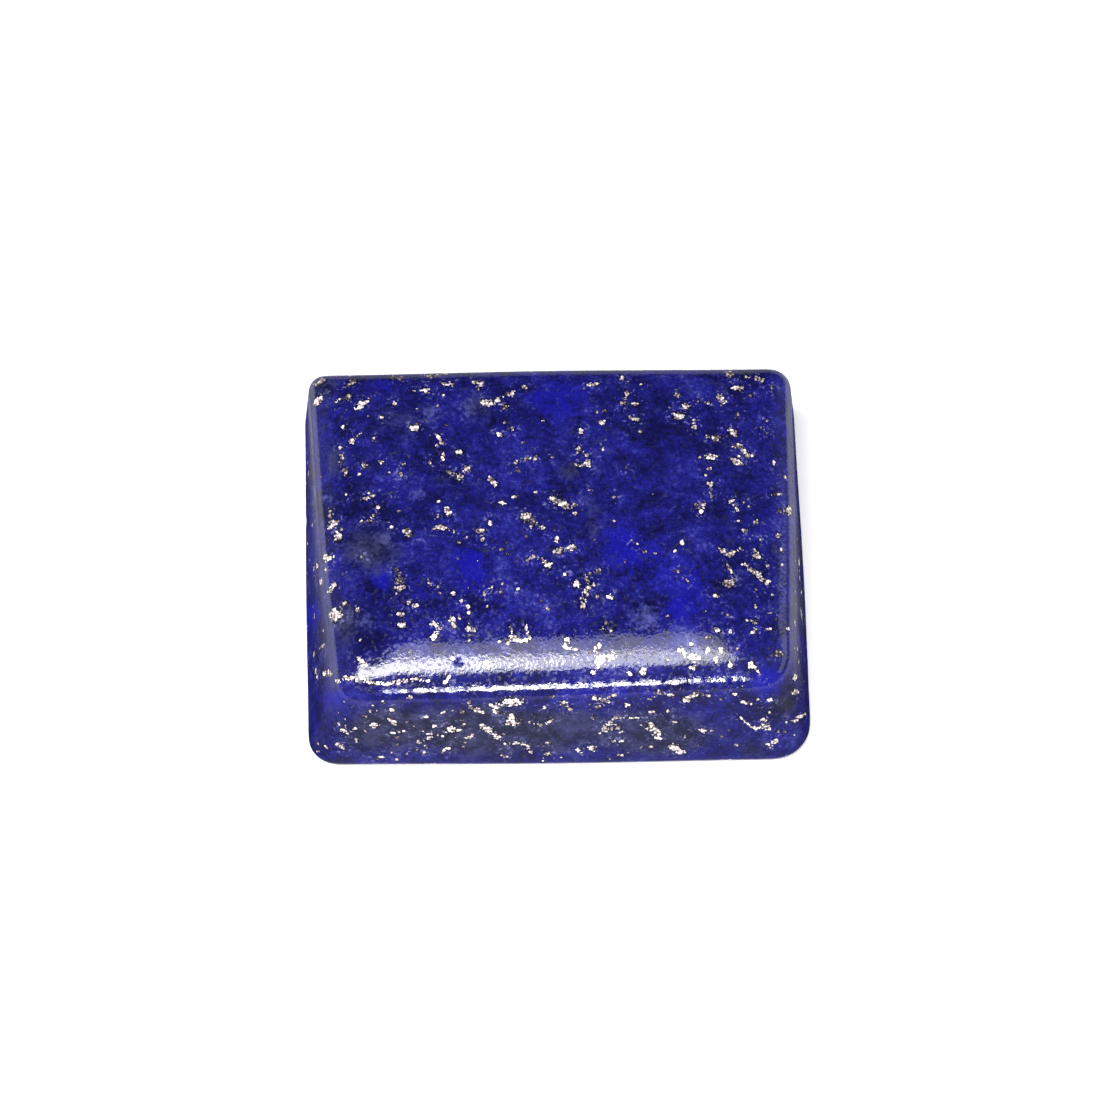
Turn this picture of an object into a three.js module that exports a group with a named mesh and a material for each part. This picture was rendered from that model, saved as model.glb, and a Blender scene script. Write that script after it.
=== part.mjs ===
// A polished rectangular cabochon of lapis lazuli: one solid stone, in millimetres, +Z up.
// The origin is the middle of the flat back. The long sides run along X, and the front edge faces -Y.
import * as THREE from 'three';

// The outline where the stone is widest, as four corners counter-clockwise from the front left.
// Each has its place, its rounding radius, and how far the wall leans in at its top, across X and Y.
const corners = [
  { x: -8.82, y: -6.92, radius: 0.95, leanX: 1.15, leanY: 0.70 },
  { x: 8.90, y: -7.13, radius: 1.30, leanX: 0.77, leanY: 1.12 },
  { x: 8.95, y: 7.03, radius: 0.75, leanX: 0.32, leanY: 0.45 },
  { x: -8.98, y: 7.10, radius: 0.60, leanX: 0.30, leanY: 0.39 },
];
const sideBow = 0.06; // how far the middle of each side swells past the straight line
const cornerSegments = 8;
const sideSegments = 12;

// The flat back and the small bevel that is ground round it.
const bevelWidth = 0.16;
const bevelHeight = 0.14;

// The wall leans in from the bevel up to this height.
const wallHeight = 3.50;
const wallRings = 4;

// Above the wall, the surface turns in by three arcs, each ending at a flatter tilt from the horizontal.
const wallTilt = 80;
const shoulderArcs = [
  { radius: 0.80, endTilt: 34, rings: 6 }, // the tight upper edge
  { radius: 2.50, endTilt: 16, rings: 4 }, // the turn of the shoulder
  { radius: 8.00, endTilt: 3, rings: 5 }, // the soft slope of the dome
  { radius: 50.0, endTilt: 0.5, rings: 3 }, // the nearly flat crown, which a flat middle closes
];

const stoneColour = 0x2c2d7e;
const stoneRoughness = 0.22;

// One corner of the outline after the wall has leaned in by a share of its full lean.
function leanedCorner(corner, leanShare) {
  return {
    x: corner.x - Math.sign(corner.x) * corner.leanX * leanShare,
    y: corner.y - Math.sign(corner.y) * corner.leanY * leanShare,
    radius: corner.radius,
  };
}

// The point on a corner's rounding at an angle from +X.
function cornerPoint(corner, angle, height) {
  return new THREE.Vector3(
    corner.x + corner.radius * (Math.cos(angle) - Math.sign(corner.x)),
    corner.y + corner.radius * (Math.sin(angle) - Math.sign(corner.y)),
    height,
  );
}

// One closed ring round the wall: four rounded corners, joined by sides that swell at their middle.
function wallRing(leanShare, height) {
  const points = [];
  const leaned = corners.map((corner) => leanedCorner(corner, leanShare));
  leaned.forEach((corner, index) => {
    const next = leaned[(index + 1) % leaned.length];
    const startAngle = Math.PI + (index * Math.PI) / 2;
    const endAngle = startAngle + Math.PI / 2;
    for (let step = 0; step <= cornerSegments; step += 1) {
      const angle = THREE.MathUtils.lerp(startAngle, endAngle, step / cornerSegments);
      points.push(cornerPoint(corner, angle, height));
    }
    const from = cornerPoint(corner, endAngle, height);
    const to = cornerPoint(next, endAngle, height);
    const outward = new THREE.Vector3(to.y - from.y, from.x - to.x, 0).normalize();
    for (let step = 1; step < sideSegments; step += 1) {
      const share = step / sideSegments;
      const swell = sideBow * Math.sin(Math.PI * share);
      points.push(from.clone().lerp(to, share).addScaledVector(outward, swell));
    }
  });
  return points;
}

// A ring drawn in towards the middle by an inset at its sides, and set at its own height.
function drawnIn(points, inset, height) {
  const halfWidth = Math.max(...points.map((point) => Math.abs(point.x)));
  const halfDepth = Math.max(...points.map((point) => Math.abs(point.y)));
  return points.map((point) => new THREE.Vector3(
    point.x * (1 - inset / halfWidth),
    point.y * (1 - inset / halfDepth),
    height,
  ));
}

// All the rings from the flat back up, and the height of the crown's middle.
function stoneRings() {
  const widest = wallRing(0, bevelHeight);
  const rings = [drawnIn(widest, bevelWidth, 0), widest];
  for (let step = 1; step <= wallRings; step += 1) {
    const share = step / wallRings;
    rings.push(wallRing(share, THREE.MathUtils.lerp(bevelHeight, wallHeight, share)));
  }
  const wallTop = rings[rings.length - 1];
  let tilt = THREE.MathUtils.degToRad(wallTilt);
  let inset = 0;
  let height = wallHeight;
  for (const arc of shoulderArcs) {
    const endTilt = THREE.MathUtils.degToRad(arc.endTilt);
    for (let step = 1; step <= arc.rings; step += 1) {
      const angle = THREE.MathUtils.lerp(tilt, endTilt, step / arc.rings);
      const arcInset = inset + arc.radius * (Math.sin(tilt) - Math.sin(angle));
      const arcHeight = height + arc.radius * (Math.cos(angle) - Math.cos(tilt));
      rings.push(drawnIn(wallTop, arcInset, arcHeight));
    }
    inset += arc.radius * (Math.sin(tilt) - Math.sin(endTilt));
    height += arc.radius * (Math.cos(endTilt) - Math.cos(tilt));
    tilt = endTilt;
  }
  return { rings, crownHeight: height };
}

// Joins each ring to the next, and closes the flat back and the crown with fans.
function stoneGeometry() {
  const { rings, crownHeight } = stoneRings();
  const count = rings[0].length;
  const positions = [];
  rings.forEach((points) => points.forEach((point) => positions.push(point.x, point.y, point.z)));
  const backMiddle = positions.length / 3;
  positions.push(0, 0, 0);
  const crownMiddle = backMiddle + 1;
  positions.push(0, 0, crownHeight);

  const indices = [];
  for (let level = 0; level < rings.length - 1; level += 1) {
    for (let step = 0; step < count; step += 1) {
      const next = (step + 1) % count;
      const lower = level * count;
      const upper = lower + count;
      indices.push(lower + step, lower + next, upper + next);
      indices.push(lower + step, upper + next, upper + step);
    }
  }
  const last = (rings.length - 1) * count;
  for (let step = 0; step < count; step += 1) {
    const next = (step + 1) % count;
    indices.push(backMiddle, next, step);
    indices.push(crownMiddle, last + step, last + next);
  }
  const geometry = new THREE.BufferGeometry();
  geometry.setAttribute('position', new THREE.Float32BufferAttribute(positions, 3));
  geometry.setIndex(indices);
  geometry.computeVertexNormals();
  return geometry;
}

const stone = new THREE.Mesh(
  stoneGeometry(),
  new THREE.MeshStandardMaterial({ color: stoneColour, roughness: stoneRoughness, metalness: 0 }),
);
stone.name = 'lapis_cabochon';

const model = new THREE.Group();
model.add(stone);
export default model;
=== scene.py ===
import math

import bmesh
import bpy
import numpy as np
from mathutils import Matrix, Vector


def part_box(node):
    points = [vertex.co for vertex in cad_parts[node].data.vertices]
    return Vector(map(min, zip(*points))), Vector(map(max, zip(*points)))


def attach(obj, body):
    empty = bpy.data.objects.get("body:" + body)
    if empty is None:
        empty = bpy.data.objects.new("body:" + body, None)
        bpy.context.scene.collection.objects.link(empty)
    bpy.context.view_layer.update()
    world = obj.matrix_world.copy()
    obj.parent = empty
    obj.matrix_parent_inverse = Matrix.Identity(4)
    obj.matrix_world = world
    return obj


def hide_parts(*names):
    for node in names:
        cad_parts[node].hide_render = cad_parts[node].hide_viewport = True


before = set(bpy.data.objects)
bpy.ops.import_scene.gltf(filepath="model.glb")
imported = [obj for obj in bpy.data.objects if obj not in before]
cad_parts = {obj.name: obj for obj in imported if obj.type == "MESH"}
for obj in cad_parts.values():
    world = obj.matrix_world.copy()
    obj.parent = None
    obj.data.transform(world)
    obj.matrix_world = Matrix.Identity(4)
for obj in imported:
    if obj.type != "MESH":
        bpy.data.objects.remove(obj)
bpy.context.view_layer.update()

mm = 0.001
stoneNode = "lapis_cabochon"
stoneLow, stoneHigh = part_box(stoneNode)


# The photograph's view, and how its pixels fall on the stone

photoView = {
    "pixels": 1100,           # the picture's width and height
    "azimuth": -1.4,          # degrees round the stone, 0 looks along +Y
    "elevation": 64.5,        # degrees above the table
    "distance": 130 * mm,
    "target": Vector((-0.15, 0.345, 2.015)) * mm,
    "sensor": 36.0,           # mm
    "lens": 120.2,            # mm
    "drawn": (0.01, 20),      # metres from the camera between which things are drawn
}


def aimAt(azimuth, elevation):
    # right, up and back of something that looks at the stone
    a, e = math.radians(azimuth), math.radians(elevation)
    back = Vector((math.sin(a) * math.cos(e), -math.cos(a) * math.cos(e), math.sin(e)))
    right = Vector((0, 0, 1)).cross(back).normalized()
    return right, back.cross(right), back


def addCamera():
    back = aimAt(photoView["azimuth"], photoView["elevation"])[2]
    bpy.ops.object.camera_add(location=photoView["target"] + back * photoView["distance"])
    camera = bpy.context.object
    camera.name = "photoCamera"
    camera.rotation_euler = (-back).to_track_quat("-Z", "Y").to_euler()
    camera.data.sensor_width = photoView["sensor"]
    camera.data.lens = photoView["lens"]
    camera.data.clip_start, camera.data.clip_end = photoView["drawn"]
    bpy.context.scene.camera = camera


def focalPixels():
    return photoView["pixels"] * photoView["lens"] / photoView["sensor"]


def photoPixels(points):
    # where points of the stone, one a row, fall in the photograph
    right, up, back = (np.array(axis) for axis in aimAt(photoView["azimuth"], photoView["elevation"]))
    eye = np.array(photoView["target"]) + back * photoView["distance"]
    fromEye = points - eye
    depth = -(fromEye @ back)
    across = photoView["pixels"] / 2 + focalPixels() * (fromEye @ right) / depth
    down = photoView["pixels"] / 2 - focalPixels() * (fromEye @ up) / depth
    return across, down, eye


addCamera()
print("camera: at the photograph's angle")


# The stone's form

stoneForm = {
    # each corner: how far it stays inside the box, its rounding, and how far its top leans in
    "corners": {
        (-1, -1): {"inside": (0.16, 0.21), "rounding": 0.95, "lean": (1.15, 0.70)},
        (1, -1): {"inside": (0.09, 0.00), "rounding": 1.30, "lean": (0.77, 1.12)},
        (1, 1): {"inside": (0.04, 0.10), "rounding": 0.75, "lean": (0.32, 0.45)},
        (-1, 1): {"inside": (0.00, 0.03), "rounding": 0.60, "lean": (0.30, 0.39)},
    },
    "bow": 0.06,              # how far the middle of each side swells
    "bowReach": (6, 8),       # how far from there the short and the long sides follow
    "wallsBeyond": 5,         # each wall lies farther out than this
    "bevelWidth": 0.16,       # the bevel round the flat back
    "bevelHeight": 0.14,
    "backRing": 0.93,         # a ring inside the edge of the flat back, as a share of its size
    "wallHeight": 3.50,
    "wallTilt": 80,           # degrees from level
    # above the wall: each arc's radius, the tilt that it ends at, and its rings
    "arcs": [(0.80, 34, 4), (2.50, 16, 3), (8.00, 3, 6), (50.0, 0.5, 6)],
    "cornerSegments": 5,
    "longCuts": 33,
    "shortCuts": 23,
    "wallCuts": 6,
    "fineLevels": 2,
    "ripple": 0.012,          # how deep the hand polish waves at most
    "rippleLength": 1.6,      # how long its waves are
    # small hollows: where each is, how far it reaches, and how its middle is pushed in
    "hollows": [
        {"at": (-8.92, 2.50, 0.22), "reach": 0.30, "push": (0.16, 0.02, 0.02)},  # the chip, left rim
        {"at": (-3.40, -4.96, 4.48), "reach": 0.22, "push": (0, 0.01, -0.032)},  # the pit, front slope
    ],
    "hollowCore": 0.3,        # the share of its reach that is pushed in as one
    # how the parts of the mesh are told apart
    "sharpBelow": 0.5,        # the cosine between two faces that meet at a corner is below this
    "levelAbove": 0.9,        # a face that points up or down more than this is level
    "longEdge": 8,            # the straight sides of the cube are longer than this, and nothing else is
    "uprightEdge": 1,         # the upright edges of the wall rise more than this
    "sameHeight": 0.01,       # how far apart the points of one ring or of one column can be
    "sameColumn": 0.05,
}


def pick(piece, kind, test):
    # selects only the vertices, edges or faces that pass the test
    bpy.ops.mesh.select_mode(type=kind)
    bpy.ops.mesh.select_all(action="DESELECT")
    form = bmesh.from_edit_mesh(piece.data)
    for part in {"VERT": form.verts, "EDGE": form.edges, "FACE": form.faces}[kind]:
        if test(part):
            part.select_set(True)
    form.select_flush_mode()
    bmesh.update_edit_mesh(piece.data)


def heights(edge):
    return [vertex.co.z for vertex in edge.verts]


def spread(edge, axis):
    return abs(edge.verts[0].co[axis] - edge.verts[1].co[axis])


def isOpen(edge):
    return len(edge.link_faces) == 1


def placeCube(piece):
    # the cube's eight corners go to the ends of the four leaning corners of the wall
    low, high = stoneForm["bevelHeight"] * mm, stoneForm["wallHeight"] * mm
    for vertex in piece.data.vertices:
        side = (int(math.copysign(1, vertex.co.x)), int(math.copysign(1, vertex.co.y)))
        corner = stoneForm["corners"][side]
        atTop = vertex.co.z > 0
        for axis in (0, 1):
            reach = stoneHigh[axis] if side[axis] > 0 else -stoneLow[axis]
            inward = corner["inside"][axis] + (corner["lean"][axis] if atTop else 0)
            vertex.co[axis] = side[axis] * (reach - inward * mm)
        vertex.co.z = high if atTop else low


def roundCorners(piece):
    for side, corner in stoneForm["corners"].items():
        def isUpright(edge):
            middle = (edge.verts[0].co + edge.verts[1].co) / 2
            turned = abs(edge.link_faces[0].normal.dot(edge.link_faces[1].normal))
            upright = spread(edge, 2) > stoneForm["uprightEdge"] * mm and turned < stoneForm["sharpBelow"]
            return upright and middle.x * side[0] > 0 and middle.y * side[1] > 0
        pick(piece, "EDGE", isUpright)
        bpy.ops.mesh.bevel(offset=corner["rounding"] * mm, segments=stoneForm["cornerSegments"],
                           affect="EDGES", profile=0.5, clamp_overlap=False)


def cutWalls(piece):
    pick(piece, "FACE", lambda face: abs(face.normal.z) > stoneForm["levelAbove"])
    bpy.ops.mesh.delete(type="ONLY_FACE")
    straight = stoneForm["longEdge"] * mm
    pick(piece, "EDGE", lambda edge: spread(edge, 0) > straight)
    bpy.ops.mesh.subdivide(number_cuts=stoneForm["longCuts"])
    pick(piece, "EDGE", lambda edge: spread(edge, 1) > straight)
    bpy.ops.mesh.subdivide(number_cuts=stoneForm["shortCuts"])
    pick(piece, "EDGE", lambda edge: spread(edge, 2) > stoneForm["uprightEdge"] * mm)
    bpy.ops.mesh.subdivide(number_cuts=stoneForm["wallCuts"])


def bowWalls(piece):
    # the middle column of each wall is pulled out, and its neighbours follow
    outside = stoneForm["wallsBeyond"] * mm
    for axis, side in ((1, -1), (1, 1), (0, -1), (0, 1)):
        along = 1 - axis
        halfLength = stoneForm["bowReach"][axis] * mm
        vertices = bmesh.from_edit_mesh(piece.data).verts
        columns = [abs(v.co[along]) for v in vertices if v.co[axis] * side > outside]
        middle = min(columns) + stoneForm["sameColumn"] * mm
        pick(piece, "VERT", lambda v: v.co[axis] * side > outside and abs(v.co[along]) < middle)
        pull = [0, 0, 0]
        pull[axis] = side * stoneForm["bow"] * mm
        bpy.ops.transform.translate(value=pull, use_proportional_edit=True,
                                    proportional_edit_falloff="SMOOTH", proportional_size=halfLength)


def drawIn(rise, factors):
    # extrudes what is selected and scales it towards the stone's middle
    bpy.ops.mesh.extrude_region_move(TRANSFORM_OT_translate={"value": (0, 0, rise)})
    bpy.ops.transform.resize(value=(factors[0], factors[1], 1), center_override=(0, 0, 0))


def halfSizes(piece, atHeight):
    slack = stoneForm["sameHeight"] * mm
    ring = [v.co for v in bmesh.from_edit_mesh(piece.data).verts if abs(v.co.z - atHeight) < slack]
    return max(abs(point.x) for point in ring), max(abs(point.y) for point in ring)


def raiseDome(piece):
    # the open top is extruded ring by ring along the arcs, and a flat grid closes the middle
    height = stoneForm["wallHeight"] * mm
    half = halfSizes(piece, height)
    topRim = height - stoneForm["sameHeight"] * mm
    pick(piece, "EDGE", lambda edge: isOpen(edge) and min(heights(edge)) > topRim)
    tilt = math.radians(stoneForm["wallTilt"])
    inset, now, size = 0, height, (1, 1)
    for radius, endTilt, rings in stoneForm["arcs"]:
        startTilt, startInset, startHeight = tilt, inset, height
        for step in range(1, rings + 1):
            tilt = startTilt + (math.radians(endTilt) - startTilt) * step / rings
            inset = startInset + radius * mm * (math.sin(startTilt) - math.sin(tilt))
            height = startHeight + radius * mm * (math.cos(tilt) - math.cos(startTilt))
            newSize = (1 - inset / half[0], 1 - inset / half[1])
            drawIn(height - now, (newSize[0] / size[0], newSize[1] / size[1]))
            now, size = height, newSize
    bpy.ops.mesh.fill_grid(span=stoneForm["longCuts"] + 1 + stoneForm["cornerSegments"])


def closeBack(piece):
    bevelHeight = stoneForm["bevelHeight"] * mm
    half = halfSizes(piece, bevelHeight)
    pick(piece, "EDGE", isOpen)
    drawIn(-bevelHeight, [1 - stoneForm["bevelWidth"] * mm / size for size in half])
    drawIn(0, [stoneForm["backRing"]] * 2)
    bpy.ops.mesh.edge_face_add()


def pressHollows(piece):
    # the chip and the pit
    bpy.ops.object.mode_set(mode="EDIT")
    for hollow in stoneForm["hollows"]:
        middle = Vector(hollow["at"]) * mm
        reach = hollow["reach"] * mm
        core = stoneForm["hollowCore"] * reach
        pick(piece, "VERT", lambda vertex: (vertex.co - middle).length < core)
        bpy.ops.transform.translate(value=Vector(hollow["push"]) * mm, use_proportional_edit=True,
                                    proportional_edit_falloff="SMOOTH", proportional_size=reach)
    bpy.ops.object.mode_set(mode="OBJECT")


def rippleSurface(piece):
    # the polished sides wave a little, always inwards, and the flat back stays flat
    bevelTop = 2 * stoneForm["bevelHeight"] * mm
    above = piece.vertex_groups.new(name="aboveBack")
    above.add([v.index for v in piece.data.vertices if v.co.z > bevelTop], 1.0, "REPLACE")
    waves = bpy.data.textures.new("polishWaves", "CLOUDS")
    waves.noise_scale = stoneForm["rippleLength"] * mm
    ripple = piece.modifiers.new("ripple", "DISPLACE")
    ripple.texture = waves
    ripple.texture_coords = "LOCAL"
    ripple.vertex_group = above.name
    ripple.mid_level = 1.0
    ripple.strength = stoneForm["ripple"] * mm
    bpy.ops.object.modifier_apply(modifier=ripple.name)


def makeStone():
    bpy.ops.object.select_all(action="DESELECT")
    bpy.ops.mesh.primitive_cube_add(size=1)
    piece = bpy.context.object
    piece.name = piece.data.name = "lapis_stone"
    placeCube(piece)
    bpy.ops.object.mode_set(mode="EDIT")
    roundCorners(piece)
    cutWalls(piece)
    bowWalls(piece)
    raiseDome(piece)
    closeBack(piece)
    bpy.ops.mesh.select_all(action="SELECT")
    bpy.ops.mesh.normals_make_consistent(inside=False)
    bpy.ops.object.mode_set(mode="OBJECT")
    fine = piece.modifiers.new("fine", "SUBSURF")
    fine.levels = fine.render_levels = stoneForm["fineLevels"]
    bpy.ops.object.modifier_apply(modifier=fine.name)
    rippleSurface(piece)
    pressHollows(piece)
    bpy.ops.object.shade_smooth()
    return piece


stone = makeStone()
print("stone: modelled with", len(stone.data.polygons), "faces")


# What is where on the side that the photograph shows, read in its pixels

# pyrite grains by their brightness: x, y, size, or x, y, width, height, with the turn in degrees where
# one slants
# the grains' brightness is partly their own tone and partly painted light: the bright ones in the highlight
# band along the front edge are painted highlight
grains = {
    "dim": [
        (319, 382, 12, 7, -25), (352, 382, 13, 6, -30), (348, 397, 7), (373, 439, 4, 5),
        (342, 457, 4, 10, -25), (364, 465, 7), (393, 377, 8, 4), (401, 378, 5), (404, 464, 4),
        (431, 376, 12, 5), (444, 374, 9, 3), (449, 472, 7, 6), (506, 394, 4), (518, 471, 5, 3),
        (626, 467, 3), (751, 395, 5, 4), (729, 374, 9, 7), (772, 387, 4), (776, 494, 9, 4),
        (780, 511, 4, 6), (369, 521, 5), (397, 570, 6, 5), (400, 579, 9, 8), (438, 516, 4),
        (480, 531, 8, 6), (526, 517, 12, 10), (534, 523, 9, 5, 40), (502, 549, 6, 4), (575, 505, 5, 4),
        (614, 497, 3), (599, 571, 6, 7), (586, 579, 2, 8, -30), (752, 570, 8, 5, 30), (729, 583, 12, 9),
        (679, 571, 4), (501, 593, 4), (484, 594, 4), (345, 604, 7, 6), (778, 654, 11, 6), (356, 740, 4),
        (598, 707, 8, 4), (614, 695, 5, 4), (658, 693, 8, 5), (618, 728, 6, 4), (795, 692, 9, 6),
        (408, 533, 12, 6, 30), (399, 588, 8, 5),
    ],
    "plain": [
        # back left
        (382, 417, 5, 4), (352, 441, 8, 6, -30), (357, 436, 3), (343, 427, 4), (345, 472, 5, 9, -10),
        (381, 462, 6, 5), (401, 474, 5, 4), (414, 391, 4, 2), (339, 399, 3), (335, 402, 4), (394, 404, 5),
        (438, 436, 7, 4, 30), (441, 441, 4, 7, -20), (443, 457, 4, 8), (460, 452, 8, 6), (430, 463, 4, 5),
        (460, 477, 8, 6, -30), (467, 469, 6, 7), (491, 480, 9, 6, 30), (495, 484, 5, 6), (444, 384, 6, 5),
        (453, 384, 5), (443, 395, 3), (438, 406, 3), (481, 383, 8, 5), (474, 382, 4), (479, 389, 4, 3),
        (505, 407, 7, 5), (512, 394, 5, 6), (524, 387, 6, 5), (500, 435, 8, 5, 25), (512, 429, 5, 4),
        (516, 462, 5), (527, 459, 6, 4), (535, 458, 5, 6),
        # back middle
        (589, 385, 5, 4), (596, 384, 6, 4), (622, 378, 6, 5), (641, 385, 3), (627, 393, 5, 6),
        (623, 403, 6, 5), (635, 404, 8, 4), (597, 412, 4, 3), (606, 411, 3), (602, 422, 8, 5),
        (630, 418, 5, 4), (637, 420, 6), (581, 431, 5, 7), (579, 450, 6, 7), (587, 455, 5, 4),
        (588, 464, 6, 7), (576, 465, 4), (582, 465, 3), (603, 449, 2, 5), (552, 457, 4, 3),
        (590, 490, 3, 2),
        # back right
        (677, 395, 6), (686, 406, 10, 5, 35), (678, 416, 12, 8), (698, 401, 3), (695, 420, 4, 3),
        (694, 427, 6, 4), (720, 397, 8, 6), (726, 401, 3), (721, 405, 3), (708, 403, 3),
        (738, 388, 14, 6), (746, 377, 3), (756, 378, 4), (762, 380, 4), (738, 414, 4), (716, 438, 10, 6),
        (711, 457, 12, 6), (732, 432, 11, 7, 35), (738, 446, 9, 6), (744, 452, 6), (750, 456, 7, 5),
        (737, 462, 14, 6, 30), (761, 428, 3), (767, 433, 3), (767, 421, 3), (774, 463, 4, 5),
        (785, 477, 4, 3), (706, 475, 3), (711, 484, 9, 5), (710, 492, 3), (712, 497, 3), (696, 505, 4),
        (704, 505, 6, 5), (701, 511, 6, 5), (731, 501, 6, 4), (744, 502, 4, 3), (737, 509, 3, 7, -25),
        (789, 510, 8, 9),
        # middle, from left to right
        (346, 495, 3), (365, 499, 7, 4, -20), (372, 496, 7, 3, -15), (378, 507, 4), (374, 515, 4),
        (392, 493, 3), (331, 511, 4), (329, 516, 3), (333, 523, 7, 8), (338, 521, 4), (329, 529, 3),
        (338, 537, 8, 10), (392, 527, 4), (406, 530, 5), (409, 535, 5, 6), (317, 566, 6), (326, 570, 3),
        (321, 582, 8, 5, -30), (329, 591, 5, 4), (343, 574, 3), (362, 557, 3), (404, 586, 4),
        (397, 594, 3), (447, 509, 6), (449, 513, 6), (454, 531, 3), (467, 538, 3), (490, 523, 6, 7),
        (483, 540, 5), (514, 497, 5, 3), (531, 527, 4), (543, 528, 5), (528, 560, 5, 3), (534, 556, 4),
        (542, 559, 4), (548, 565, 9, 7), (556, 500, 13, 9, 20), (565, 506, 11, 7, 40), (550, 502, 3),
        (557, 539, 6), (559, 551, 8), (554, 553, 4), (590, 574, 4), (576, 584, 7, 8), (588, 588, 6, 4),
        (585, 591, 4), (594, 585, 5, 3, 40), (587, 596, 5), (581, 598, 3), (597, 596, 4),
        (583, 606, 6, 7), (637, 544, 3), (632, 540, 2), (682, 543, 4, 6), (675, 551, 4, 3),
        (722, 550, 9, 5, 30), (732, 554, 9, 5, -30), (740, 548, 2, 4), (754, 549, 3), (738, 521, 4, 2),
        (745, 530, 6, 4), (750, 539, 2), (761, 539, 3), (756, 522, 5), (778, 536, 6, 5), (781, 550, 3, 5),
        (729, 568, 3, 11, -30), (745, 565, 5, 3, 40), (768, 566, 3), (716, 596, 8, 5, 20),
        (687, 581, 4, 5), (756, 590, 3), (772, 595, 3), (757, 574, 12, 6, 35),
        # towards the front edge
        (429, 583, 3, 8, -30), (438, 587, 3), (453, 594, 6, 5), (461, 601, 3), (502, 583, 3),
        (492, 587, 3), (518, 589, 3), (468, 607, 4), (487, 607, 3), (541, 601, 4), (357, 610, 6, 5),
        (401, 614, 9, 6), (402, 625, 8, 6), (409, 603, 6, 4), (417, 606, 6, 4), (440, 628, 5, 4),
        (452, 620, 8), (454, 627, 5), (468, 629, 6), (475, 629, 3, 6), (511, 629, 3, 9, -30),
        (526, 628, 3, 7), (507, 643, 4), (606, 623, 4), (600, 630, 5, 2), (611, 631, 3), (707, 638, 6, 4),
        (717, 630, 8, 4, 30), (730, 632, 3, 5), (755, 621, 5), (754, 632, 7, 4), (769, 629, 6, 3),
        (788, 629, 4, 3), (769, 613, 6, 2), (728, 615, 3), (737, 649, 3),
        # the left and right walls
        (320, 648, 4), (315, 653, 4), (324, 645, 4), (314, 657, 3), (315, 670, 4), (329, 673, 10, 7),
        (308, 543, 3), (799, 563, 5, 10), (800, 578, 3, 7), (802, 592, 5, 8), (801, 614, 4, 13, -20),
        (797, 648, 3, 6),
        # the front wall, from left to right
        (370, 711, 4, 3), (392, 710, 6, 4), (390, 719, 5, 3), (394, 723, 6, 5), (374, 725, 10, 4),
        (342, 730, 6, 3), (348, 734, 4, 3), (355, 729, 5, 3), (403, 731, 4, 3), (393, 733, 5, 3),
        (337, 744, 7, 3), (343, 748, 5, 4), (426, 717, 5, 3), (419, 742, 6, 4), (380, 757, 8, 3),
        (392, 752, 4, 2), (407, 754, 3), (424, 753, 4, 3), (491, 705, 6, 3), (497, 707, 7, 3),
        (477, 710, 14, 5, 20), (496, 712, 8, 4, 25), (511, 717, 8, 7), (515, 723, 8, 6), (508, 724, 7, 3),
        (469, 702, 4, 5), (443, 712, 5, 3), (434, 726, 5, 3), (450, 729, 9, 6), (458, 730, 6, 3),
        (464, 724, 5, 2), (482, 726, 7, 5), (489, 730, 9, 5), (430, 734, 6, 3), (430, 739, 5, 3),
        (442, 736, 4, 3), (468, 738, 8, 3), (473, 735, 4, 3), (497, 737, 7, 4), (448, 748, 6, 3),
        (443, 752, 4, 3), (505, 744, 3), (516, 743, 8, 3), (527, 746, 5, 3), (531, 752, 4, 3),
        (506, 757, 6, 3), (548, 742, 6, 3), (547, 754, 7, 5), (529, 722, 4, 3), (540, 725, 6, 3),
        (551, 721, 8, 3, -20), (544, 707, 3), (563, 703, 8, 5), (570, 709, 5, 4), (594, 698, 7, 5),
        (603, 700, 6, 4), (608, 702, 4, 3), (627, 705, 6, 4), (650, 699, 5, 2), (670, 695, 7, 3),
        (652, 712, 8, 3), (668, 711, 3, 5), (687, 699, 9, 6), (695, 695, 10, 5, -15), (616, 718, 6, 3),
        (610, 722, 5, 3), (605, 729, 9, 6), (633, 718, 12, 2), (650, 726, 8, 9), (657, 732, 7, 9),
        (675, 722, 5, 3), (622, 741, 6, 3), (613, 741, 3), (578, 750, 5, 4), (592, 748, 9, 5),
        (621, 755, 9, 2), (674, 747, 10, 7), (681, 752, 10, 5), (685, 737, 3), (708, 696, 5, 4),
        (734, 694, 6, 3), (743, 702, 6, 3), (751, 704, 4, 3), (770, 700, 5, 3), (742, 719, 6, 2, 40),
        (748, 724, 5, 2, 40), (755, 728, 6, 4), (762, 727, 6, 4), (769, 728, 4, 5), (764, 720, 7, 3),
        (770, 713, 4, 3), (795, 721, 8, 3), (803, 715, 10, 3, -15), (702, 731, 7, 5), (767, 744, 5, 3),
        (776, 741, 6, 5), (770, 747, 3),
    ],
    "bright": [
        (318, 401, 12, 7, -50), (362, 404, 18, 7, -35), (414, 428, 11, 6), (486, 403, 12, 7, 25),
        (497, 400, 8, 6), (426, 390, 8, 6), (327, 557, 10, 8), (334, 585, 5), (502, 503, 10, 3, 15),
        (572, 548, 9, 6), (565, 574, 4), (611, 597, 8, 5, 20), (757, 556, 10, 7), (767, 582, 8, 6),
        # painted highlight: most grains from here on lie in the highlight band along the front edge and are
        # drawn white for the light that it mirrors; from (350, 678) on they are specks of that highlight at
        # the band's left end, drawn as grains
        (335, 615, 13, 14), (434, 637, 8, 7), (519, 640, 20, 5, 12), (337, 681, 5), (795, 677, 7, 6),
        (440, 528, 14, 7), (512, 702, 25, 8), (434, 624, 9, 5), (529, 637, 4, 6), (694, 657, 17, 7),
        (681, 651, 8, 7), (600, 661, 12), (612, 656, 9, 10), (599, 646, 7), (595, 650, 3, 6),
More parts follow.
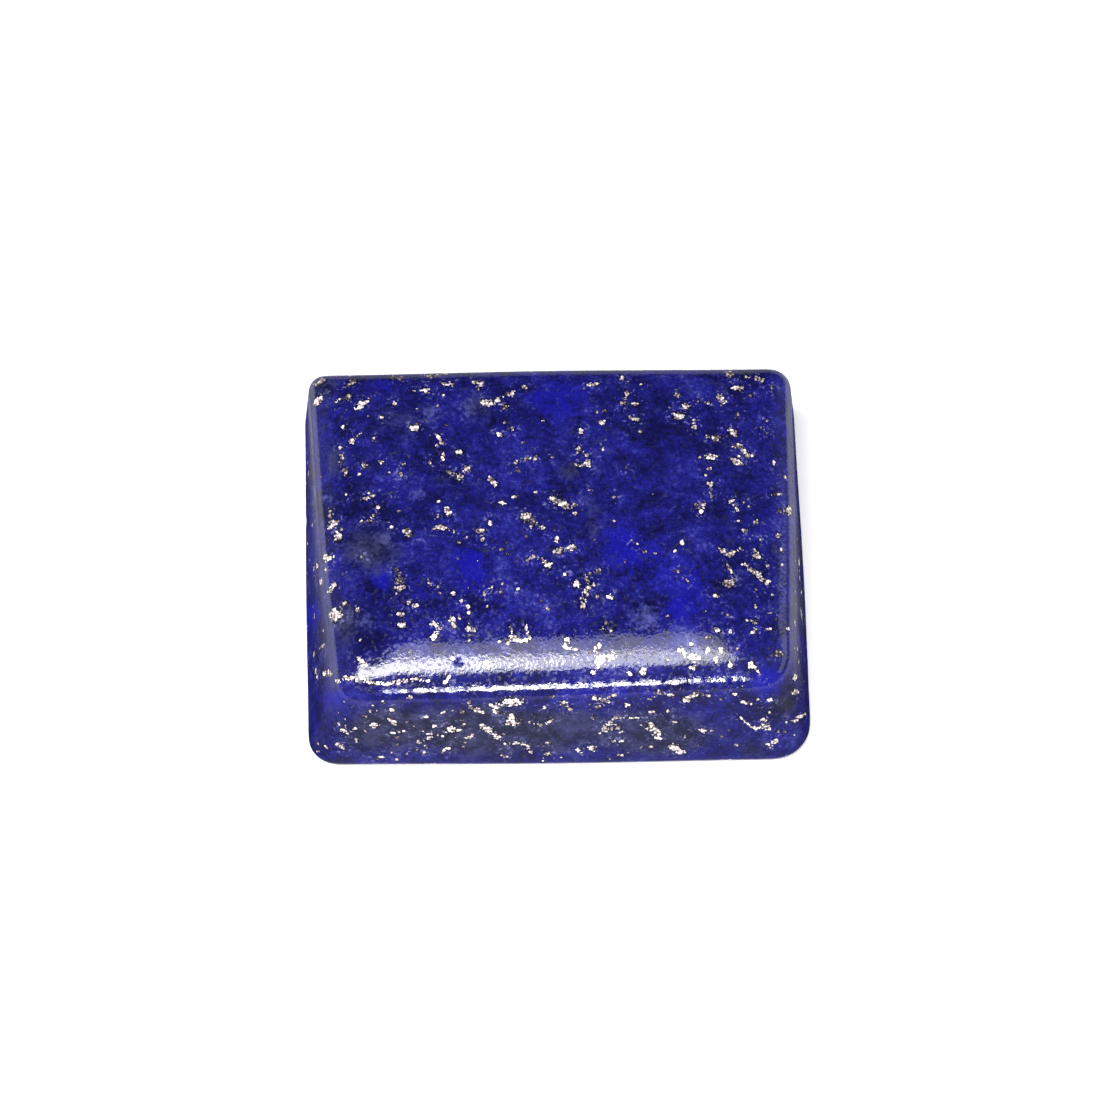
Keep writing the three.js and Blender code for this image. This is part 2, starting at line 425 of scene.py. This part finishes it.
        (567, 640, 6), (566, 647, 6), (575, 649, 6, 4), (752, 665, 7, 8), (757, 671, 10, 2, 50),
        (487, 665, 10, 9), (452, 658, 6), (716, 660, 5, 7), (708, 650, 5), (721, 650, 5, 7, -20),
        (730, 665, 5, 10, -30), (693, 667, 8, 5), (643, 671, 7, 8), (593, 673, 6, 4),
        (630, 674, 6, 4, 30), (691, 644, 4), (658, 738, 9, 4, 15), (350, 678, 7, 5), (345, 677, 4),
        (357, 680, 5, 4), (362, 677, 6, 5), (324, 674, 6, 5), (317, 677, 4), (359, 659, 7, 4, 35),
        (364, 664, 8, 6, 20), (370, 682, 7, 4), (377, 683, 6, 5), (388, 684, 7, 4), (398, 682, 7, 5),
        (407, 681, 6, 4), (417, 679, 5, 4), (428, 681, 5, 3), (445, 682, 5, 4), (449, 677, 4),
    ],
}

# soft patches: x, y, half width, half height, strength
patches = {
    "smoke": [
        (325, 389, 16, 16, 0.8), (335, 460, 14, 24, 0.8), (478, 407, 20, 20, 0.7),
        (568, 471, 18, 14, 0.7), (592, 525, 11, 30, 0.7), (370, 550, 40, 32, 1.0),
        (347, 622, 18, 28, 1.0), (797, 605, 10, 22, 0.8), (400, 415, 40, 24, 0.4),
        # the patches below row 690 grey and darken the front wall, and the wide one at (560, 728) spans the
        # whole of it
        (382, 730, 42, 30, 1.0), (480, 732, 60, 34, 1.0), (650, 738, 62, 26, 0.9),
        (785, 703, 15, 12, 1.0), (755, 750, 22, 12, 0.7), (560, 735, 40, 26, 0.5),
        (440, 480, 24, 10, 0.4), (745, 460, 40, 50, 0.3), (735, 590, 30, 26, 0.35),
        (525, 517, 22, 14, 0.45), (560, 728, 240, 24, 0.65), (420, 440, 60, 30, 0.25),
        (600, 470, 30, 40, 0.3),
    ],
    "bright": [
        (385, 383, 14, 12, 0.7), (565, 397, 34, 26, 0.8), (472, 567, 24, 32, 1.0),
        (620, 540, 24, 24, 0.7), (640, 560, 46, 26, 0.6), (690, 580, 40, 26, 0.6),
        (780, 445, 12, 20, 0.6), (337, 560, 14, 17, 0.6), (381, 577, 13, 26, 1.0),
        (315, 612, 12, 16, 1.0), (770, 681, 20, 18, 1.2), (335, 697, 16, 12, 1.0), (630, 693, 80, 5, 0.8),
        (680, 612, 24, 20, 0.9), (430, 700, 60, 8, 0.6), (350, 420, 16, 20, 0.4), (530, 400, 24, 20, 0.5),
        (420, 590, 20, 20, 0.5), (650, 480, 40, 40, 0.35), (500, 610, 60, 20, 0.4),
        (560, 700, 30, 10, 0.4),
    ],
    "pale": [
        (417, 494, 18, 10, 0.8), (630, 430, 14, 12, 0.6), (645, 616, 26, 24, 0.9),
        (362, 622, 22, 18, 0.8), (387, 542, 18, 15, 0.7), (338, 500, 14, 14, 0.5),
        (430, 415, 16, 12, 0.5), (465, 412, 24, 18, 0.5), (560, 610, 30, 10, 0.4),
        (725, 717, 30, 10, 0.5), (795, 690, 14, 30, 0.5), (425, 405, 26, 22, 0.3),
        (325, 660, 14, 26, 0.5), (610, 400, 20, 20, 0.3), (700, 560, 30, 30, 0.3), (312, 504, 8, 5, 0.8),
        (323, 497, 9, 4, 0.9),
    ],
    # where the polish is worn, mostly chips along the tight upper edge of the front
    "worn": [
        (378, 692, 9, 6, 1.1), (394, 691, 8, 6, 0.9), (411, 690, 4, 5, 1.1), (439, 689, 4, 5, 1.1),
        (466, 688, 5, 5, 1.1), (487, 687, 4, 5, 1.0), (572, 683, 5, 5, 1.3), (590, 685, 5, 3, 1.0),
        (607, 682, 5, 5, 1.3), (633, 681, 5, 5, 1.3), (663, 681, 4, 5, 1.3), (686, 683, 6, 3, 1.0),
        (704, 680, 4, 5, 1.3), (729, 680, 5, 5, 1.3), (739, 680, 3, 4, 1.3), (457, 661, 6, 5, 0.9),
    ],
}

marks = {
    "barelySeen": 0.02,       # what faces the camera less than this is hidden from it
    "edgeOn": 0.14,           # walls that face it less than this show the pattern of the hidden sides
    "leastFacing": 0.45,      # on steeper walls no grain is drawn out longer than at this foreshortening
    "farAway": 50.0,          # the distance from a grain, in pixels, that is kept where none is near
    "pyriteSwell": 0.90,      # the size of the grains against what was read off
    # how bright each kind of grain is drawn, partly its own tone and partly painted highlight
    "shines": {"dim": 0.45, "plain": 0.72, "bright": 0.95},
    "frontBegins": 690,       # the pixel row below which grains are on the front wall
    "frontPaintedHighlight": 0.16,       # painted highlight: how much brighter grains are drawn on the front wall, which faces the front light
    "softness": 1.3,          # how fast the patches fade
    "polishSlopes": (70, 52), # the polish begins and is full on slopes flatter than these
    "frontPolish": 0.25,
    "frontCurve": 2,          # how fast that polish goes as a wall turns away from the front
    "sidePolish": (0.02, 0.28),   # at the foot and at the top of the other walls
    "sideCurve": 4,           # how late it rises between them
    "backDulling": 0.7,       # the share of the polish that the back wall lacks
    "backFull": 2 / 3,        # how far a wall faces backwards where that is full
    "topCrumbs": 0.35,        # how many of the small loose grains the top keeps
    "frontCrumbs": 1.3,       # and the front wall
    "crumbsFront": (0.4, 0.9),    # how far a wall faces forwards where the one turns into the other
}


def risen(values, begins, full):
    # 0 up to where it begins, and 1 from where it is full
    return np.clip((values - begins) / (full - begins), 0, 1)


def placePyrite(points, normals, across, down, towardsEye, seen):
    # for each vertex: its place beside the nearest grain in grain radii with that grain's brightness, and
    # how many pixels it lies outside the grain
    right, up = (np.array(axis) for axis in aimAt(photoView["azimuth"], photoView["elevation"])[:2])
    pixelsPerMetre = focalPixels() / photoView["distance"]
    place = np.full((len(across), 3), marks["farAway"])
    nearest = np.full(len(across), marks["farAway"])
    for kind, shine in marks["shines"].items():
        for x, y, width, *rest in grains[kind]:
            height = rest[0] if rest else width
            turn = math.radians(rest[1]) if len(rest) > 1 else 0
            # distances along the surface at the grain, drawn out by the view only as far as is likely
            centre = np.argmin(np.where(seen, np.hypot(across - x, down - y), np.inf))
            offset = (points - points[centre]) * pixelsPerMetre
            around = np.flatnonzero(seen & (np.linalg.norm(offset, axis=1) < marks["farAway"]))
            facing = towardsEye[centre] @ normals[centre]
            lean = towardsEye[centre] - normals[centre] * facing
            lean /= np.linalg.norm(lean)
            side = np.cross(normals[centre], lean)
            leanSeen = np.array((lean @ right, -lean @ up))
            leanSeen *= max(facing, marks["leastFacing"]) / np.linalg.norm(leanSeen)
            sideSeen = np.array((side @ right, -side @ up))
            onSurface = np.outer(offset[around] @ lean, leanSeen)
            onSurface += np.outer(offset[around] @ side, sideSeen)
            toRight = onSurface[:, 0] + across[centre] - x
            toFoot = onSurface[:, 1] + down[centre] - y
            halfWidth, halfHeight = (marks["pyriteSwell"] * size / 2 for size in (width, height))
            acrossGrain = (toRight * math.cos(turn) + toFoot * math.sin(turn)) / halfWidth
            downGrain = (toFoot * math.cos(turn) - toRight * math.sin(turn)) / halfHeight
            beyond = (np.hypot(acrossGrain, downGrain) - 1) * math.sqrt(halfWidth * halfHeight)
            closer = beyond < nearest[around]
            nearest[around[closer]] = beyond[closer]
            place[around[closer], 0] = acrossGrain[closer]
            place[around[closer], 1] = downGrain[closer]
            place[around[closer], 2] = shine + (marks["frontPaintedHighlight"] if y > marks["frontBegins"] else 0)
    return place, nearest


def placePatches(across, down, seen, patchList):
    amount = np.zeros(len(across))
    for x, y, halfWidth, halfHeight, strength in patchList:
        distance = np.hypot((across - x) / halfWidth, (down - y) / halfHeight)
        amount += strength * np.exp(-marks["softness"] * distance ** 2)
    return np.where(seen, amount, 0)


def polishOf(points, normals, worn):
    # the top is polished, and the walls are only ground smooth, least near their foot
    begins, full = (math.cos(math.radians(slope)) for slope in marks["polishSlopes"])
    top = risen(normals[:, 2], begins, full)
    foot, head = marks["sidePolish"]
    side = foot + (head - foot) * risen(points[:, 2], 0, stoneForm["wallHeight"] * mm) ** marks["sideCurve"]
    front = np.clip(-normals[:, 1], 0, 1) ** marks["frontCurve"]
    wall = side + (marks["frontPolish"] - side) * front
    back = marks["backDulling"] * risen(normals[:, 1], 0, marks["backFull"])
    return (wall + (1 - wall) * top) * (1 - back) * (1 - np.clip(worn, 0, 1))


def crumbsOf(normals, seen):
    # how many of the small loose grains each place keeps
    front = risen(-normals[:, 1], *marks["crumbsFront"])
    onView = marks["topCrumbs"] + (marks["frontCrumbs"] - marks["topCrumbs"]) * front
    return np.where(seen, onView, 1)


def keepMark(piece, name, values, kind="FLOAT"):
    field = "vector" if kind == "FLOAT_VECTOR" else "value"
    attribute = piece.data.attributes.new(name, kind, "POINT")
    attribute.data.foreach_set(field, values.astype(np.float32).ravel())


def readVertices(piece, field):
    values = np.empty(len(piece.data.vertices) * 3)
    piece.data.vertices.foreach_get(field, values)
    return values.reshape(-1, 3)


def markStone(piece):
    points, normals = readVertices(piece, "co"), readVertices(piece, "normal")
    across, down, eye = photoPixels(points)
    towardsEye = eye - points
    towardsEye /= np.linalg.norm(towardsEye, axis=1)[:, None]
    facing = (towardsEye * normals).sum(1)
    seen = facing > marks["barelySeen"]
    place, nearest = placePyrite(points, normals, across, down, towardsEye, seen)
    keepMark(piece, "grainPlace", place, "FLOAT_VECTOR")
    keepMark(piece, "beyondGrain", nearest)
    amounts = {name: placePatches(across, down, seen, patchList) for name, patchList in patches.items()}
    for name in ("smoke", "bright", "pale"):
        keepMark(piece, name, amounts[name])
    keepMark(piece, "seen", risen(facing, marks["edgeOn"], 2 * marks["edgeOn"]))
    keepMark(piece, "polish", polishOf(points, normals, amounts["worn"]))
    keepMark(piece, "crumbs", crumbsOf(normals, seen))


markStone(stone)
print("stone: marked with", sum(len(kind) for kind in grains.values()), "grains of pyrite")


# The finish of the stone

class Wire:
    # a value in a shader: sums written with it add Math nodes
    def __init__(self, tree, socket):
        self.tree = tree
        self.socket = socket

    def output(self, number):
        # another output of the same node
        return Wire(self.tree, self.socket.node.outputs[number])

    def maths(self, operation, *values):
        return addNode(self.tree, "ShaderNodeMath", {"operation": operation}, dict(enumerate(values)))

    def larger(self, other):
        return self.maths("MAXIMUM", self, other)

    def __add__(self, other):
        return self.maths("ADD", self, other)

    def __sub__(self, other):
        return self.maths("SUBTRACT", self, other)

    def __rsub__(self, other):
        return self.maths("SUBTRACT", other, self)

    def __mul__(self, other):
        return self.maths("MULTIPLY", self, other)

    def __truediv__(self, other):
        return self.maths("DIVIDE", self, other)

    def __pow__(self, other):
        return self.maths("POWER", self, other)

    __radd__ = __add__


def addNode(tree, kind, settings=None, values=None, output=0):
    # one node with its settings, then the values or links of its sockets; gives back one output
    node = tree.nodes.new(kind)
    for name, setting in (settings or {}).items():
        if name == "stops":
            ramp = node.color_ramp
            while len(ramp.elements) < len(setting):
                ramp.elements.new(1)
            for element, (position, colour) in zip(ramp.elements, setting):
                element.position = position
                element.color = colour
        else:
            setattr(node, name, setting)
    for name, value in (values or {}).items():
        if isinstance(value, Wire):
            tree.links.new(value.socket, node.inputs[name])
        else:
            node.inputs[name].default_value = value
    return Wire(tree, node.outputs[output])


def tint(red, green, blue):
    # a colour as a picture editor gives it, as the shader wants it
    linear = [(part / 255 / 12.92) if part < 11 else ((part / 255 + 0.055) / 1.055) ** 2.4
              for part in (red, green, blue)]
    return (*linear, 1)


lapisFinish = {
    "blues": [(0.04, tint(3, 3, 38)), (0.30, tint(10, 10, 68)), (0.50, tint(17, 17, 95)),
              (0.66, tint(24, 25, 111)), (0.84, tint(43, 46, 126)), (1.00, tint(80, 85, 146))],
    "brightBlue": tint(14, 13, 138),
    "smokyGrey": tint(47, 49, 76),
    "smokyOlive": tint(22, 24, 42),
    "paleFleck": tint(132, 130, 180),
    "paleCloud": tint(84, 88, 146),
    # pyrite from dark to pale brass; the white at the top of the ramp is painted glint
    "pyrite": [(0.00, tint(46, 41, 54)), (0.26, tint(122, 109, 114)), (0.52, tint(182, 167, 164)),
               (0.74, tint(220, 208, 202)), (0.92, tint(255, 252, 250))],
    "rim": tint(3, 3, 16),
    # each noise: its scale to the mm, its detail and its roughness
    "noises": {
        "stir": (1.6, 3, 0.55),       # this one bends the other patterns
        "broad": (0.42, 2, 0.5),
        "patchy": (1.5, 3, 0.6),
        "grain": (6.5, 3, 0.65),
        "sparkle": (14.0, 2, 0.7),
        "bright": (0.55, 2, 0.5),
        "smoke": (0.6, 2, 0.5),
        "pale": (0.9, 3, 0.5),
        "greyWisps": (2.4, 4, 0.7),
        "wisps": (3.2, 4, 0.7),
        "flecks": (8.0, 3, 0.7),
        "jags": (11.0, 1, 0.6),
        "crowding": (0.5, 1, 0.5),
        "pits": (9.0, 1, 0.5),
        "waves": (1.6, 0, 0.5),
        "dull": (7.0, 1, 0.5),
    },
    "stirring": 0.7,          # how far it does, in mm
    "tone": 0.475,            # the middle of the blues, and how far each noise moves it
    "toneSwings": {"broad": 0.9, "patchy": 1.1, "grain": 1.0, "sparkle": 0.5},
    # the patches: how strong they are, how ragged two noises make them, and where they begin and are
    # full; on the hidden sides a shifted noise takes the place of the marks, between two of its values
    "patches": {
        "bright": {"strength": 0.75, "patchy": 1.30, "grain": 0.90, "edge": (0.25, 1.05),
                   "shift": (0, 0, 0), "drift": (0.52, 0.70)},
        "smoke": {"strength": 0.80, "patchy": 1.17, "grain": 0.81, "edge": (0.25, 1.00),
                  "shift": (9, 4, 2), "drift": (0.52, 0.68)},
        "pale": {"strength": 0.65, "patchy": 1.20, "grain": 1.60, "edge": (0.45, 1.25),
                 "shift": (3, 17, 5), "drift": (0.58, 0.72)},
    },
    "smokeMix": {"grain": 0.7, "edge": (0.35, 0.65)},     # where smoke turns from olive to grey
    "greyWisps": {"strength": 0.50, "edge": (0.56, 0.74), "shift": (5, 2, 8)},
    "wisps": {"strength": 0.42, "edge": (0.58, 0.80), "broad": 0.3},
    # pale flecks that lie within some pixels of a placed grain
    "flecks": {"strength": 0.60, "edge": (0.58, 0.69), "patchy": 0.3, "within": (2.0, 11.0)},
    # the crystals that break the grains up: how many to the mm, what their distances are multiplied by,
    # the middle of these, how far they jag an edge, and where and how much their cracks are dark
    "crystals": {"scale": 9.0, "size": 0.68, "middle": 0.45, "jags": 1.2, "crack": (0.40, 0.62),
                 "dark": 0.45},
    "jags": 2.0,              # how far a noise jags an edge as well
    "placedJags": 0.8,        # how jagged the placed and the loose grains are
    "looseJags": 0.9,
    "grainEdge": (0.86, 1.02),    # where a grain and its dark rim fade out, in grain radii
    "rimEdge": (1.05, 1.65),
    "rimStrength": 0.88,
    "bridges": (1.6, 2.6),    # pixels outside a placed grain where its jags fade out
    # loose grains: cell size in mm, share of cells that hold one, radius in cells
    "looseGrains": [(1.15, 0.30, 0.17), (0.62, 0.30, 0.17), (0.34, 0.32, 0.20)],
    "smallCell": 0.4,         # those in smaller cells than this are also on the side that is seen
    "looseSizes": (0.5, 0.8), # the smallest size of a loose grain, and what chance adds to it
    "crowding": 0.8,          # how far they keep together
    "holdsEdge": 0.02,        # how soft the choice of the cells is
    "cellShift": 7.3,         # what keeps the three patterns of cells apart
    "cellSquash": 0.15,
    # how bright a crystal is drawn, partly painted glint: by chance, against the average of the placed
    # grains, and at least
    "shine": {"glint": 0.85, "average": 0.6, "least": 0.09},
    "pyriteMetal": 0.30,
    "pyriteRoughness": 0.40,
    "stoneRoughness": 0.08,
    "dullGrain": 0.22,        # how much rougher the softer mineral grains are
    "dullEdge": (0.52, 0.68),
    "pitDepth": 0.0045 * mm,
    "waveShare": 1.5,         # how deep the waves and the grains lie, in depths of a pit
    "grainSunk": 0.3,
    "polishedShine": 0.5,     # how much the polished stone and the ground stone mirror
    "groundShine": 0.0,
}


class Rock:
    # the nodes of the rock's shader, with the places and noises that its parts share
    def __init__(self, tree, look):
        self.tree = tree
        self.look = look
        objectPlace = self.add("ShaderNodeTexCoord", output=3)
        self.place = self.vector("MULTIPLY", objectPlace, [1 / mm] * 3)     # in mm
        stir = self.vector("SUBTRACT", self.noise("stir", self.place, 1), [0.5] * 3)
        self.stirred = self.vector("ADD", self.place, self.vector("MULTIPLY", stir, [look["stirring"]] * 3))
        self.broad = self.noise("broad", self.stirred)
        self.patchy = self.noise("patchy", self.stirred)
        self.grain = self.noise("grain", self.place)
        self.sparkle = self.noise("sparkle", self.place)
        self.hidden = 1 - self.mark("seen")

    def add(self, kind, settings=None, values=None, output=0):
        return addNode(self.tree, kind, settings, values, output)

    def noise(self, name, place, output=0):
        scale, detail, roughness = self.look["noises"][name]
        values = {"Vector": place, "Scale": scale, "Detail": detail, "Roughness": roughness}
        return self.add("ShaderNodeTexNoise", None, values, output)

    def smooth(self, value, low, high):
        return self.add("ShaderNodeMapRange", {"interpolation_type": "SMOOTHSTEP"},
                        {"Value": value, "From Min": low, "From Max": high})

    def blend(self, factor, first, second):
        return self.add("ShaderNodeMix", {"data_type": "RGBA"}, {0: factor, 6: first, 7: second}, 2)

    def vector(self, operation, first, second):
        return self.add("ShaderNodeVectorMath", {"operation": operation}, {0: first, 1: second})

    def mark(self, name, output=2):
        return self.add("ShaderNodeAttribute", {"attribute_name": name}, None, output)


def patchMask(rock, kind):
    patch = rock.look["patches"][kind]
    shifted = rock.vector("ADD", rock.stirred, patch["shift"])
    drift = rock.smooth(rock.noise(kind, shifted), *patch["drift"])
    ragged = (rock.patchy - 0.5) * patch["patchy"] + (rock.grain - 0.5) * patch["grain"]
    return rock.smooth(rock.mark(kind) + rock.hidden * drift + ragged, *patch["edge"])


def paintRock(rock):
    look = rock.look
    # blues: broad drifts, patches and a fine grain
    swings = look["toneSwings"]
    tone = look["tone"] + (rock.broad - 0.5) * swings["broad"] + (rock.patchy - 0.5) * swings["patchy"]
    tone = tone + (rock.grain - 0.5) * swings["grain"] + (rock.sparkle - 0.5) * swings["sparkle"]
    colour = rock.add("ShaderNodeValToRGB", {"stops": look["blues"]}, {"Fac": tone})

    mix = look["smokeMix"]
    greyShare = rock.smooth(rock.patchy + (rock.grain - 0.5) * mix["grain"], *mix["edge"])
    greyTone = rock.blend(greyShare, look["smokyOlive"], look["smokyGrey"])
    patchTints = {"bright": look["brightBlue"], "smoke": greyTone, "pale": look["paleCloud"]}
    for kind, patchTint in patchTints.items():
        colour = rock.blend(patchMask(rock, kind) * look["patches"][kind]["strength"], colour, patchTint)

    # thin wisps of dull grey and of the paler minerals, and pale flecks beside the grains
    grey, pale, flecks = look["greyWisps"], look["wisps"], look["flecks"]
    shifted = rock.vector("ADD", rock.stirred, grey["shift"])
    greyWisps = rock.smooth(rock.noise("greyWisps", shifted), *grey["edge"])
    colour = rock.blend(greyWisps * grey["strength"], colour, look["smokyGrey"])
    wispNoise = rock.noise("wisps", rock.stirred) + (rock.broad - 0.5) * pale["broad"]
    wisps = rock.smooth(wispNoise, *pale["edge"])
    colour = rock.blend(wisps * pale["strength"], colour, look["paleCloud"])
    fleckNoise = rock.noise("flecks", rock.place) + (rock.patchy - 0.5) * flecks["patchy"]
    besideGrains = 1 - rock.smooth(rock.mark("beyondGrain"), *flecks["within"])
    fleckMask = rock.smooth(fleckNoise, *flecks["edge"]) * besideGrains
    return rock.blend(fleckMask * flecks["strength"], colour, look["paleFleck"])


def bodyAndRim(rock, distance, share):
    # a grain and the dark rim round it, from the distance to its middle in its radii
    return [(1 - rock.smooth(distance, *rock.look[edge])) * share for edge in ("grainEdge", "rimEdge")]


def findPyrite(rock):
    # where pyrite and the dark rims are, and how bright the pyrite is drawn, partly as painted glint
    look, crystal, shineLook = rock.look, rock.look["crystals"], rock.look["shine"]
    crystals = rock.add("ShaderNodeTexVoronoi", {"distance": "MANHATTAN"},
                        {"Vector": rock.place, "Scale": crystal["scale"]})
    chips = crystals * crystal["size"]
    jagged = (rock.noise("jags", rock.place) - 0.5) * look["jags"]
    jagged = jagged + (chips - crystal["middle"]) * crystal["jags"]

    # the placed grains
    beside = rock.add("ShaderNodeSeparateXYZ", None, {0: rock.mark("grainPlace", 1)})
    besideDown, grainShine = beside.output(1), beside.output(2)
    distance = (beside * beside + besideDown * besideDown) ** 0.5 + jagged * look["placedJags"]
    near = 1 - rock.smooth(rock.mark("beyondGrain"), *look["bridges"])
    placed, rim = bodyAndRim(rock, distance, near)

    # loose grains: small ones all over, larger ones only where the photograph doesn't look
    body = placed
    crumbs = rock.mark("crumbs")
    least, added = look["looseSizes"]
    for number, (cell, share, radius) in enumerate(look["looseGrains"]):
        squashed = rock.vector("MULTIPLY", rock.place, (1, 1 + look["cellSquash"] * number, 1))
        shifted = rock.vector("ADD", squashed, (number * look["cellShift"], 0, 0))
        cells = rock.add("ShaderNodeTexVoronoi", {"feature": "F1"}, {"Vector": shifted, "Scale": 1 / cell})
        draw = rock.add("ShaderNodeSeparateColor", None, {0: cells.output(1)})
        size = draw.output(1)
        crowding = (rock.noise("crowding", rock.stirred) - 0.5) * look["crowding"]
        kept = crumbs if cell < look["smallCell"] else rock.hidden
        holds = rock.smooth((share + crowding) * kept - draw, 0, look["holdsEdge"])
        distance = cells / ((least + size * added) * radius) + jagged * look["looseJags"]
        looseBody, looseRim = bodyAndRim(rock, distance, holds)
        body = body.larger(looseBody)
        rim = rim.larger(looseRim)

    # painted glint: each crystal gets its own brightness by chance, added to the grains' drawn brightness
    glint = rock.add("ShaderNodeSeparateColor", None, {0: crystals.output(1)})
    crack = rock.smooth(chips, *crystal["crack"])
    placedShine = placed * (grainShine - shineLook["average"]) + shineLook["least"]
    shine = glint * shineLook["glint"] + placedShine - crack * crystal["dark"]
    return body, rim, shine


def makeLapis():
    look = lapisFinish
    material = bpy.data.materials.new("lapis")
    material.use_nodes = True
    tree = material.node_tree
    tree.nodes.remove(tree.nodes["Principled BSDF"])
    rock = Rock(tree, look)
    pyrite, rim, shine = findPyrite(rock)
    metal = rock.add("ShaderNodeValToRGB", {"stops": look["pyrite"]}, {"Fac": shine})
    colour = rock.blend(rim * look["rimStrength"], paintRock(rock), look["rim"])
    colour = rock.blend(pyrite, colour, metal)

    # fine pits and waves left by the polishing
    waves = rock.noise("waves", rock.place) * look["waveShare"]
    pits = rock.noise("pits", rock.place) + waves - pyrite * look["grainSunk"]
    bump = rock.add("ShaderNodeBump", None, {"Strength": 1.0, "Distance": look["pitDepth"], "Height": pits})
    softer = rock.smooth(rock.noise("dull", rock.place), *look["dullEdge"])
    dull = look["stoneRoughness"] + softer * look["dullGrain"]

    # the same stone polished and only ground
    values = {
        "Base Color": colour,
        "Metallic": pyrite * look["pyriteMetal"],
        "Roughness": dull + pyrite * (look["pyriteRoughness"] - dull),
        "Normal": bump,
    }
    ground, polished = (
        rock.add("ShaderNodeBsdfPrincipled", None, {**values, "Specular IOR Level": look[level]})
        for level in ("groundShine", "polishedShine"))
    surface = rock.add("ShaderNodeMixShader", None, {0: rock.mark("polish"), 1: ground, 2: polished})
    tree.links.new(surface.socket, tree.nodes["Material Output"].inputs["Surface"])
    return material


stone.data.materials.append(makeLapis())
print("stone: finished in lapis")


# Floor and light

studio = {
    "floorSize": 3.0,
    "floorColour": (0.90, 0.89, 0.90),
    "floorRoughness": 0.9,
    "wallColour": (0.95, 0.95, 1.0),
    "wallLight": 0.38,
    "flagLight": 0.12,        # a dark cloth behind and above, which the flat top mirrors
    "flagAt": (180, 42),
    "flagSize": (38, 60),     # degrees from its middle where it ends, and where the wall is bright again
    # each light: its place in degrees to the right, and in degrees up from the front and over the top;
    # its size in degrees, its turn, its distance in metres and its radiance
    "lights": {
        "frontStrip": {"at": (0.8, 43), "size": (10, 8), "turn": 0, "distance": 0.5, "radiance": 62},
        "bandBox": {"at": (2.5, 80), "size": (9, 12), "turn": -38, "distance": 0.5, "radiance": 12},
        "bandLeft": {"at": (-16.5, 82), "size": (32, 15), "turn": -14, "distance": 0.48, "radiance": 23},
        "bandSoft": {"at": (-1, 90.5), "size": (18, 10), "turn": 0, "distance": 0.52, "radiance": 3.4},
        "rightFill": {"at": (66, 90), "size": (16, 44), "turn": 0, "distance": 0.5, "radiance": 1.6},
    },
}


def addFloor():
    bpy.ops.object.select_all(action="DESELECT")
    bpy.ops.mesh.primitive_plane_add(size=studio["floorSize"], location=(0, 0, stoneLow.z))
    floor = bpy.context.object
    floor.name = "floor"
    paper = bpy.data.materials.new("palePaper")
    paper.use_nodes = True
    shader = paper.node_tree.nodes["Principled BSDF"]
    shader.inputs["Base Color"].default_value = (*studio["floorColour"], 1)
    shader.inputs["Roughness"].default_value = studio["floorRoughness"]
    floor.data.materials.append(paper)


def addLight(name, light):
    across, over = (math.radians(angle) for angle in light["at"])
    back = Vector((math.sin(across), -math.cos(across) * math.cos(over), math.cos(across) * math.sin(over)))
    up = Vector((0, math.sin(over), math.cos(over)))
    bpy.ops.object.light_add(type="AREA", location=back * light["distance"])
    lamp = bpy.context.object
    lamp.name = name
    facing = Matrix((up.cross(back), up, back)).transposed()
    lamp.rotation_euler = (facing @ Matrix.Rotation(math.radians(light["turn"]), 3, "Z")).to_euler()
    lamp.data.shape = "RECTANGLE"
    lamp.data.size, lamp.data.size_y = (2 * light["distance"] * math.tan(math.radians(angle / 2))
                                        for angle in light["size"])
    lamp.data.energy = light["radiance"] * math.pi * lamp.data.size * lamp.data.size_y


def addStudio():
    addFloor()
    for name, light in studio["lights"].items():
        addLight(name, light)
    world = bpy.data.worlds.new("studioWalls")
    world.use_nodes = True
    tree = world.node_tree
    walls = tree.nodes["Background"]
    walls.inputs["Color"].default_value = (*studio["wallColour"], 1)
    towards = addNode(tree, "ShaderNodeTexCoord")
    flag = addNode(tree, "ShaderNodeVectorMath", {"operation": "DOT_PRODUCT"},
                   {0: towards, 1: aimAt(*studio["flagAt"])[2]}, 1)
    inner, outer = (math.cos(math.radians(angle)) for angle in studio["flagSize"])
    light = addNode(tree, "ShaderNodeMapRange", {"interpolation_type": "SMOOTHSTEP"},
                    {"Value": flag, "From Min": outer, "From Max": inner,
                     "To Min": studio["wallLight"], "To Max": studio["flagLight"]})
    tree.links.new(light.socket, walls.inputs["Strength"])
    bpy.context.scene.world = world
    bpy.context.scene.view_settings.view_transform = "Standard"


addStudio()
print("studio: floor and lights")


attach(stone, "root")
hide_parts(stoneNode)
